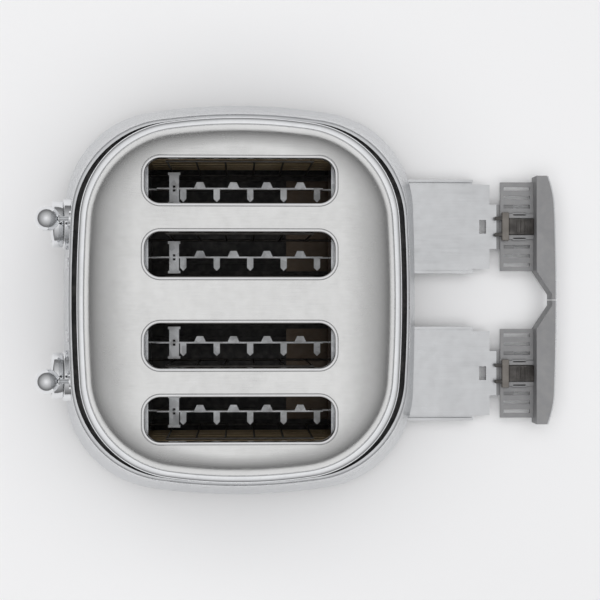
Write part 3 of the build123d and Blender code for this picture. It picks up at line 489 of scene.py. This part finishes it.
# Cuts a shape out of a finished piece
def carve(piece, shape, sharp):
    tool = asObject("tool", shape)
    cut = piece.modifiers.new("cut", "BOOLEAN")
    cut.operation = "DIFFERENCE"
    cut.solver = "EXACT"
    cut.object = tool
    carved = bpy.data.meshes.new_from_object(
        piece.evaluated_get(bpy.context.evaluated_depsgraph_get()))
    piece.modifiers.clear()
    piece.data = carved
    carved.name = piece.name
    shadeSmooth(carved, sharp)
    bpy.data.objects.remove(tool)


lid = addPiece("domedLid", lidBlock(0.0, lidSize["base"]), "housing", "lidSteel",
               lidSize["sharp"])
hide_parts("lid")
carve(lid, lidBlock(lidSize["sheet"], lidSize["cavityFoot"]), lidSize["sharp"])

# The slots are punched out of the dome, and each gets a lip rolled up over its edge
punchShape = bmesh.new()
for slotX in slotSize["places"]:
    ends = [slotLoop(punchShape, slotX, slotSize["punchGrow"], rise, follow=False)
            for rise in (slotSize["punchLow"], slotSize["punchHigh"])]
    bridge(punchShape, ends)
    for end in ends:
        bmesh.ops.holes_fill(punchShape, edges=end, sides=0)
carve(lid, punchShape, lidSize["sharp"])

lipShape = bmesh.new()
for slotX in slotSize["places"]:
    rings = [slotLoop(lipShape, slotX, lipSize["width"], lipSize["foot"])]
    for step in range(lipSize["steps"] + 1):
        turn = math.pi * step / lipSize["steps"]
        swell = lipSize["shoulder"] + (1 - lipSize["shoulder"]) * math.sin(turn)
        grow = lipSize["roll"] * (1 + math.cos(turn))
        rings.append(slotLoop(lipShape, slotX, grow, lipSize["rise"] * swell))
    for grow in (0.0, lipSize["sheet"]):
        rings.append(slotLoop(lipShape, slotX, grow, -lipSize["flange"], follow=False))
    rings.append(slotLoop(lipShape, slotX, lipSize["sheet"], lipSize["under"]))
    bridge(lipShape, rings, closed=True)
addPiece("slotLips", lipShape, "housing", "lipSteel", lipSize["sharp"])
print("lid made")

# Trim ring: bright band round the lid
ringSize = dict(halfDepth=120.25, halfWidth=135.15, endBow=7.0, sideBow=18.0, corner=76.0, base=169.0,
                height=11.0, outerRound=3.0, outerSteps=8, innerRound=0.75, innerSteps=4, clearance=0.15,
                sharp=60)
ringOutline = tuple(ringSize[key] for key in ("halfDepth", "halfWidth", "endBow", "sideBow", "corner"))
ringShape = bmesh.new()
ringTop = ringSize["base"] + ringSize["height"]
ringLoops = [bowedLoop(ringShape, ringOutline, 0.0, ringSize["base"])]
for step in range(ringSize["outerSteps"] + 1):
    turn = math.pi / 2 * step / ringSize["outerSteps"]
    ringLoops.append(bowedLoop(ringShape, ringOutline, ringSize["outerRound"] * (1 - math.cos(turn)),
                               ringTop - ringSize["outerRound"] * (1 - math.sin(turn))))
for step in range(ringSize["innerSteps"] + 1):
    turn = math.pi / 2 * step / ringSize["innerSteps"]
    growth = ringSize["clearance"] + ringSize["innerRound"] * (1 - math.sin(turn))
    height = ringTop - ringSize["innerRound"] * (1 - math.cos(turn))
    ringLoops.append(bowedLoop(ringShape, lidOutline(0), -growth, height))
ringLoops.append(bowedLoop(ringShape, lidOutline(0), -ringSize["clearance"], ringSize["base"]))
bridge(ringShape, ringLoops, closed=True)
ring = addPiece("trimBand", ringShape, "housing", "brightChrome", ringSize["sharp"])
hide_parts("trim_ring")
print("ring made")


# A closed solid turned about Z from radius and height pairs in millimetres
def turned(profile, segments):
    shape = bmesh.new()
    verts = [shape.verts.new((radius * mm, 0, height * mm)) for radius, height in profile]
    edges = [shape.edges.new(pair) for pair in zip(verts, verts[1:])]
    bmesh.ops.spin(shape, geom=verts + edges, cent=(0, 0, 0), axis=(0, 0, 1), angle=math.tau,
                   steps=segments, use_merge=True)
    bmesh.ops.remove_doubles(shape, verts=shape.verts, dist=1e-6)
    return shape


# Stands a shape's Z along a facing, at an origin in millimetres
def moveTo(shape, origin, facing):
    turn = Vector(facing).to_track_quat("Z", "X").to_matrix().to_4x4()
    bmesh.ops.transform(shape, matrix=Matrix.Translation(Vector(origin) * mm) @ turn, verts=shape.verts)


# Ball knobs: bright balls with a short ferrule towards the wall
knobSize = dict(radius=9.5, ferrule=3.2, stem=1.75, steps=32, segments=96)
for sideName in sides:
    low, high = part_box(f"lever_knob_{sideName}")
    middle = (low + high) / 2 / mm
    middle.y = low.y / mm + knobSize["radius"]
    seat = -math.sqrt(knobSize["radius"] ** 2 - knobSize["ferrule"] ** 2)
    profile = []
    for step in range(knobSize["steps"]):
        turn = math.pi * step / knobSize["steps"]
        profile.append((knobSize["radius"] * math.sin(turn), knobSize["radius"] * math.cos(turn)))
    profile = [pair for pair in profile if pair[1] > seat]
    profile += [(knobSize["ferrule"], seat), (knobSize["ferrule"], -knobSize["radius"]),
                (knobSize["stem"], -knobSize["radius"]), (knobSize["stem"], 0.0), (0.0, 0.0)]
    knobShape = turned(profile, knobSize["segments"])
    moveTo(knobShape, middle, (0, -1, 0))
    knob = addPiece(f"ballKnob_{sideName}", knobShape, f"lever_{sideName}", "brightChrome")
    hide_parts(f"lever_knob_{sideName}")
print("knobs made")


# A box between two corners in millimetres, with rounded edges
def softBlock(shape, low, high, edge):
    made = bmesh.ops.create_cube(shape, size=1)["verts"]
    size = Vector(high) - Vector(low)
    centre = (Vector(high) + Vector(low)) / 2
    bmesh.ops.scale(shape, vec=size * mm, verts=made)
    bmesh.ops.translate(shape, vec=centre * mm, verts=made)
    edges = list(dict.fromkeys(line for vert in made for line in vert.link_edges))
    bmesh.ops.bevel(shape, geom=edges, offset=edge * mm, offset_type="OFFSET", segments=3, profile=0.5,
                    affect="EDGES", material=-1)


# The crumb trays' latches: where one stands, and its pieces as boxes from its middle, its rear and its foot.
# Each box has two corners and the rounding of its edges, and a paired box is mirrored to the other side.
latchPlace = dict(x=63.55, rear=254.35, foot=15.05)
latchPieces = {
    "latchBlock": dict(slot="black_plastic", finish="blackPlastic", boxes=(
        ((-7.0, -22.0, 0.0), (7.0, 0.0, 4.2), 0.8),
        ((-5.5, -5.7, 3.0), (5.5, -4.3, 5.0), 0.4),
        ((-5.5, -8.9, 3.0), (5.5, -7.5, 5.0), 0.4),
        ((-5.5, -12.1, 3.0), (5.5, -10.7, 5.0), 0.4),
        ((-5.5, -15.3, 3.0), (5.5, -13.9, 5.0), 0.4),
    ), pairs=(
        ((5.5, -34.0, 0.0), (8.5, -23.0, 4.4), 0.5),
    )),
    "latchArms": dict(slot="grey_plastic", finish="trayPlastic", boxes=(), pairs=(
        ((7.2, -23.0, 0.0), (11.0, 0.0, 2.4), 0.4),
        ((8.5, -19.0, 0.0), (12.2, -6.0, 2.4), 1.1),
    )),
    "latchCatch": dict(slot="grey_plastic", finish="catchPlastic", boxes=(
        ((-12.2, -28.0, 0.0), (12.2, -22.0, 4.8), 0.7),
    ), pairs=()),
}
for sideName, side in sides.items():
    origin = Vector((side * latchPlace["x"], latchPlace["rear"], latchPlace["foot"]))
    for pieceName, make in latchPieces.items():
        latchShape = bmesh.new()
        for low, high, edge in make["boxes"] + make["pairs"]:
            softBlock(latchShape, origin + Vector(low), origin + Vector(high), edge)
        for (innerX, lowY, lowZ), (outerX, highY, highZ), edge in make["pairs"]:
            softBlock(latchShape, origin + Vector((-outerX, lowY, lowZ)),
                      origin + Vector((-innerX, highY, highZ)), edge)
        piece = addPiece(f"{pieceName}_{sideName}", latchShape, f"crumb_tray_{sideName}",
                         make["finish"])
        if pieceName == "latchBlock":
            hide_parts(f"tray_latch_{sideName}")
print("latches made")

# Dials: turned caps with a raised rim and a dark dot on it, as radius and height pairs over the spindle
capProfile = ((0.0, 13.8), (14.5, 13.8), (15.1, 14.1), (16.1, 14.3), (17.2, 14.3), (17.6, 14.15),
              (18.9, 12.8), (19.1, 12.4), (19.1, 6.1), (18.85, 5.55), (18.3, 5.3), (3.0, 5.3), (3.0, -14.0),
              (0.0, -14.0))
dotProfile = ((0.0, 14.2), (1.0, 14.2), (1.3, 13.95), (1.3, 13.1), (0.0, 13.1))
dialMake = dict(capSegments=128, capSharp=30, dotSegments=32, dotAside=14.3)
spindles = {joint["name"]: joint for joint in frame["record"]["behaviour"]["joints"]}
for sideName in sides:
    spindle = spindles[f"dial_{sideName}_turn"]
    centre = Vector(spindle["pos_m"]) / mm
    capShape = turned(capProfile, dialMake["capSegments"])
    moveTo(capShape, centre, spindle["axis"])
    cap = addPiece(f"dialCap_{sideName}", capShape, f"dial_{sideName}", "brightChrome",
                   dialMake["capSharp"])
    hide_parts(f"dial_{sideName}")
    dotShape = turned(dotProfile, dialMake["dotSegments"])
    moveTo(dotShape, centre + Vector((dialMake["dotAside"], 0, 0)), spindle["axis"])
    addPiece(f"dialDot_{sideName}", dotShape, f"dial_{sideName}", "blackPlastic")
print("dials made")

# Floor, light and camera
stageLook = dict(floorTone=(0.90, 0.90, 0.905), floorHalf=6, floorRough=0.9,
                 tent=((0.0, 0.16), (0.2, 0.2), (0.53, 0.38), (0.857, 0.6), (0.97, 0.8), (1.0, 0.92)),
                 tentBlue=1.01, lens=79.0, sensor=36, eye=1.15, shift=0.03, lean=1.83)
lamps = (
    dict(name="overhead", power=46.0, size=3.2, spot=(0, 0, 2.6), target=(0, 0, 0)),
    dict(name="fill", power=4.0, size=1.5, spot=(-1.8, -1.6, 1.4), target=(0, 0, 0.1)),
)
floorMesh = bmesh.new()
bmesh.ops.create_grid(floorMesh, x_segments=1, y_segments=1, size=stageLook["floorHalf"])
floorData = bpy.data.meshes.new("floor")
floorMesh.to_mesh(floorData)
floorMesh.free()
floorPiece = bpy.data.objects.new("floor", floorData)
bpy.context.scene.collection.objects.link(floorPiece)
floorFinish = bpy.data.materials.new("paleFloor")
floorFinish.use_nodes = True
floorShader = floorFinish.node_tree.nodes["Principled BSDF"]
floorShader.inputs["Base Color"].default_value = (*stageLook["floorTone"], 1)
floorShader.inputs["Roughness"].default_value = stageLook["floorRough"]
floorData.materials.append(floorFinish)

# A tent that is bright overhead and darker towards the horizon
world = bpy.data.worlds.new("tent")
bpy.context.scene.world = world
world.use_nodes = True
sky = world.node_tree
aim = place(sky, "ShaderNodeTexCoord")
axes = place(sky, "ShaderNodeSeparateXYZ")
join(sky, aim.outputs["Generated"], axes.inputs[0])
ramp = place(sky, "ShaderNodeValToRGB")
while len(ramp.color_ramp.elements) < len(stageLook["tent"]):
    ramp.color_ramp.elements.new(0.5)
for stop, (position, level) in zip(ramp.color_ramp.elements, stageLook["tent"]):
    stop.position = position
    stop.color = (level, level, level * stageLook["tentBlue"], 1)
join(sky, axes.outputs["Z"], ramp.inputs[0])
join(sky, ramp.outputs[0], sky.nodes["Background"].inputs["Color"])
sky.nodes["Background"].inputs["Strength"].default_value = 1.0

for lamp in lamps:
    data = bpy.data.lights.new(lamp["name"], "AREA")
    data.energy = lamp["power"]
    data.shape = "SQUARE"
    data.size = lamp["size"]
    light = bpy.data.objects.new(lamp["name"], data)
    light.location = lamp["spot"]
    light.rotation_mode = "QUATERNION"
    light.rotation_quaternion = (Vector(lamp["target"]) - Vector(lamp["spot"])).to_track_quat("-Z", "Y")
    light.visible_glossy = False
    bpy.context.scene.collection.objects.link(light)

cameraData = bpy.data.cameras.new("camera")
cameraData.lens = stageLook["lens"]
cameraData.sensor_width = stageLook["sensor"]
cameraData.shift_x = stageLook["shift"]
camera = bpy.data.objects.new("camera", cameraData)
lean = math.radians(stageLook["lean"])
right = Vector((0, math.cos(lean), math.sin(lean)))
upward = Vector((-1, 0, 0))
back = right.cross(upward)
camera.matrix_world = Matrix.Translation((0, 0, stageLook["eye"])) @ Matrix(
    (right, upward, back)).transposed().to_4x4()
bpy.context.scene.collection.objects.link(camera)
bpy.context.scene.camera = camera
bpy.context.scene.view_settings.view_transform = "Standard"
print("stage made")
